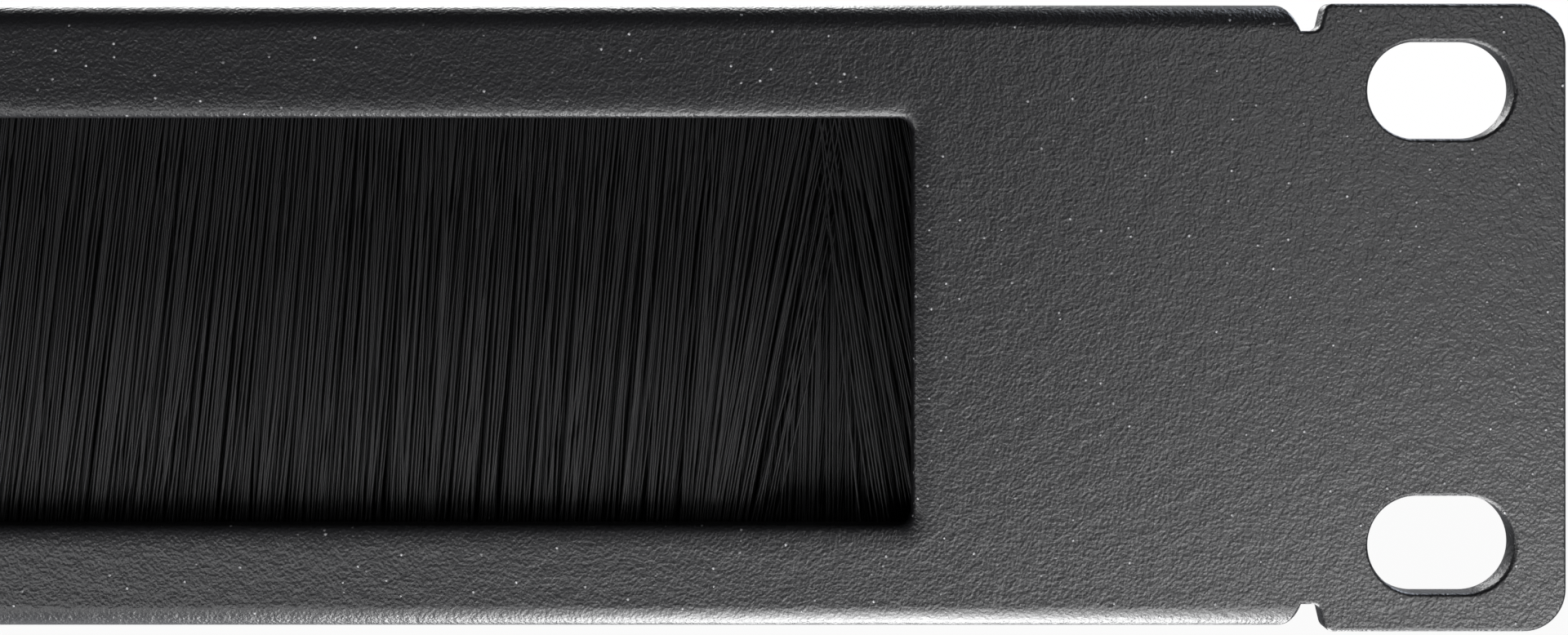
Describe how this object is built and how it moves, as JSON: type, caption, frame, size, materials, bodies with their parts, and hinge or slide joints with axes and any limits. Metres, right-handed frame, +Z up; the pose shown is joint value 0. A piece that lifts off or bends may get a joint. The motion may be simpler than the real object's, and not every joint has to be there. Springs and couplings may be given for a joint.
{
  "type": "rack brush strip panel",
  "caption": "Folded sheet-steel rack panel with slotted ears and a long cable window closed by a hanging strip brush.",
  "frame": {"origin": "middle of the four rack slots, on the rear face of the ears", "axes": "+X along the panel, to the right as seen from the front; +Y back into the rack; +Z up"},
  "size_m": [0.4826, 0.015, 0.044],
  "materials": {
    "powder_coat": "black powder coat, fine texture, low sheen",
    "holder_aluminium": "mill-finish extrusion",
    "zinc_steel": "bright zinc plate",
    "channel_steel": "galvanised strip and wire",
    "bristle_nylon": "black nylon filament, satin"
  },
  "bodies": {
    "root": {"panel": "powder_coat", "brush_holder": "holder_aluminium", "weld_studs": "zinc_steel", "washers": "zinc_steel", "nuts": "zinc_steel", "brush_channel": "channel_steel", "core_wire": "channel_steel", "bristles": "bristle_nylon"}
  },
  "joints": []
}
